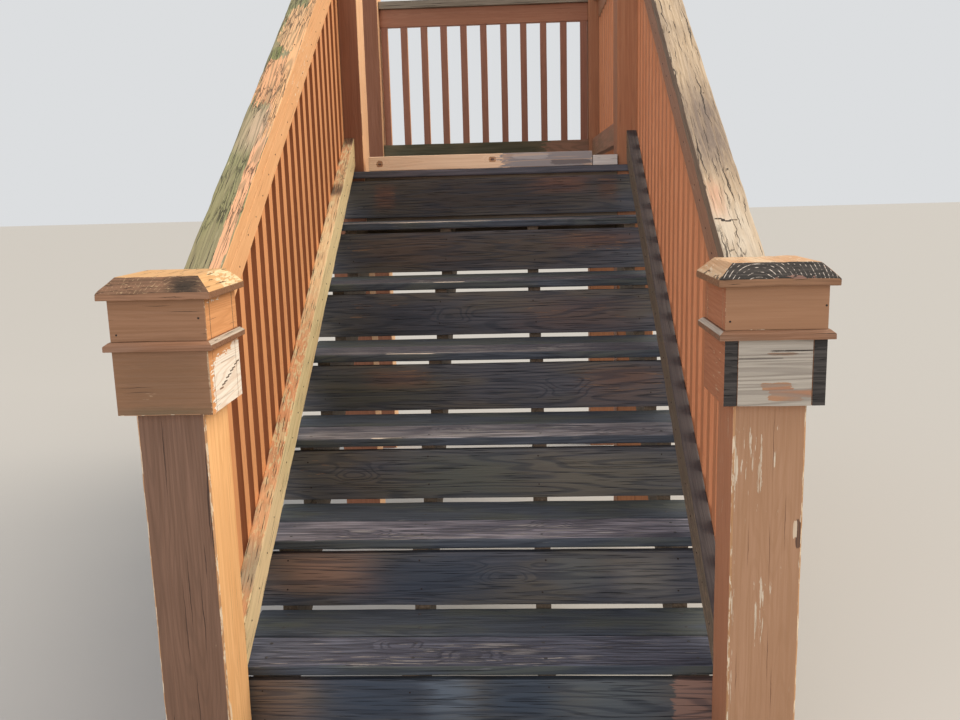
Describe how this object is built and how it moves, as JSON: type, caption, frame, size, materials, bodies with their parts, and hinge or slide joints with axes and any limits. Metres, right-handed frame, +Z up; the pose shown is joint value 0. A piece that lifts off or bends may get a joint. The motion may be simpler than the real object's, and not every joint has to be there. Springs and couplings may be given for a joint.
{
  "type": "deck stair",
  "caption": "Straight wooden stair with board treads, guards of square balusters, capped newels and a partly guarded landing",
  "frame": {"origin": "on the ground, below the middle of the stair's bounding box", "axes": "+X to the right seen from the foot of the flight, +Y up the flight towards the landing, +Z up"},
  "size_m": [1.452, 3.532, 2.504],
  "materials": {
    "stained_post": "orange-brown solid stain, worn",
    "stained_rail": "orange-brown solid stain, worn",
    "stained_baluster": "orange-brown solid stain",
    "cap_wood": "stain worn to bare end grain",
    "handrail_lichen": "bare grey wood with lichen",
    "handrail_bare": "bare checked wood",
    "lower_rail_light": "flaking stain over pale wood",
    "lower_rail_dark": "dark weathered wood",
    "tread_wood": "dark stain, weathered",
    "riser_wood": "dark stain, weathered",
    "framing": "weathered timber",
    "new_pine": "new planed pine",
    "white_wood": "whitened wood"
  },
  "bodies": {
    "root": {"newel_post_left": "stained_post", "newel_post_right": "stained_post", "newel_lower_band_left": "stained_post", "newel_lower_band_right": "stained_post", "newel_moulding_left": "stained_post", "newel_moulding_right": "stained_post", "newel_upper_band_left": "stained_post", "newel_upper_band_right": "stained_post", "newel_cap_left": "cap_wood", "newel_cap_right": "cap_wood", "stringer_left": "framing", "stringer_right": "framing", "carriages": "framing", "tread_1": "tread_wood", "tread_2": "tread_wood", "tread_3": "tread_wood", "tread_4": "tread_wood", "tread_5": "tread_wood", "tread_6": "tread_wood", "tread_7": "tread_wood", "risers": "riser_wood", "lower_rail_left": "lower_rail_light", "lower_rail_right": "lower_rail_dark", "upper_rail_left": "stained_rail", "upper_rail_right": "stained_rail", "handrail_left": "handrail_lichen", "handrail_right": "handrail_bare", "balusters_left": "stained_baluster", "balusters_right": "stained_baluster", "landing_posts_front": "stained_post", "landing_posts_back": "stained_post", "landing_rim_front": "framing", "landing_rim_back": "framing", "landing_rim_sides": "framing", "landing_joists": "framing", "landing_boards": "tread_wood", "edge_board": "new_pine", "edge_block": "white_wood", "back_guard_cap": "handrail_bare", "back_guard_rails": "stained_rail", "back_guard_balusters": "stained_baluster", "side_guard_cap": "handrail_bare", "side_guard_rails": "stained_rail", "side_guard_balusters": "stained_baluster"}
  },
  "joints": []
}
